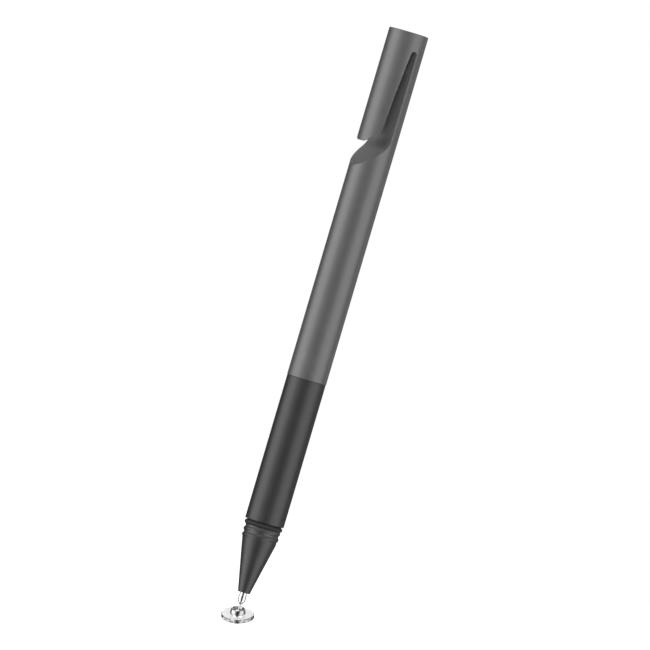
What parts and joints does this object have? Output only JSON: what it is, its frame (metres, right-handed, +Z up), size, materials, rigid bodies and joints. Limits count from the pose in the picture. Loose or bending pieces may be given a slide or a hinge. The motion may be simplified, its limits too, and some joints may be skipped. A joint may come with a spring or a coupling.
{
  "type": "stylus pen",
  "caption": "Slim stylus pen with a clear disc on a ball-jointed tip, a black grip and nose, and a pocket clip cut out of its dark grey barrel.",
  "frame": {"origin": "on the pen's axis, at the level of the lowest point of the leaning disc", "axes": "+Z up the pen's axis from the tip to the flat top, -Y towards the face of the pocket clip"},
  "size_m": [0.0088, 0.0088, 0.1337],
  "materials": {
    "barrel_grey": "fine bead-blasted and anodised dark grey",
    "satin_black": "satin anodised black",
    "brass_inner": "turned brass",
    "seal_rubber": "matt black rubber",
    "bright_steel": "polished steel",
    "liner_plastic": "smooth bearing plastic",
    "clear_plastic": "clear polished plastic"
  },
  "bodies": {
    "pen": {"barrel": "barrel_grey", "grip_sleeve": "satin_black", "grip_core": "brass_inner", "nose_cone": "satin_black", "cap_seal": "seal_rubber", "tip_bush": "brass_inner", "tip_pin": "bright_steel"},
    "liner": {"ball_liner": "liner_plastic"},
    "ring": {"snap_ring": "bright_steel"},
    "disc": {"disc_hub": "bright_steel", "clear_disc": "clear_plastic"}
  },
  "joints": [
    {"name": "disc_swivel", "type": "hinge", "parent": "pen", "child": "liner", "pos_m": [0, 0, 0.00252], "axis": [0, 0, 1], "continuous": true},
    {"name": "disc_tilt", "type": "hinge", "parent": "liner", "child": "ring", "pos_m": [0, 0, 0.00252], "axis": [0.8918, 0.4524, 0], "range_deg": [-63, 7]},
    {"name": "disc_spin", "type": "hinge", "parent": "ring", "child": "disc", "pos_m": [0, 0, 0.00252], "axis": [0.2124, -0.4187, 0.8829], "continuous": true}
  ]
}
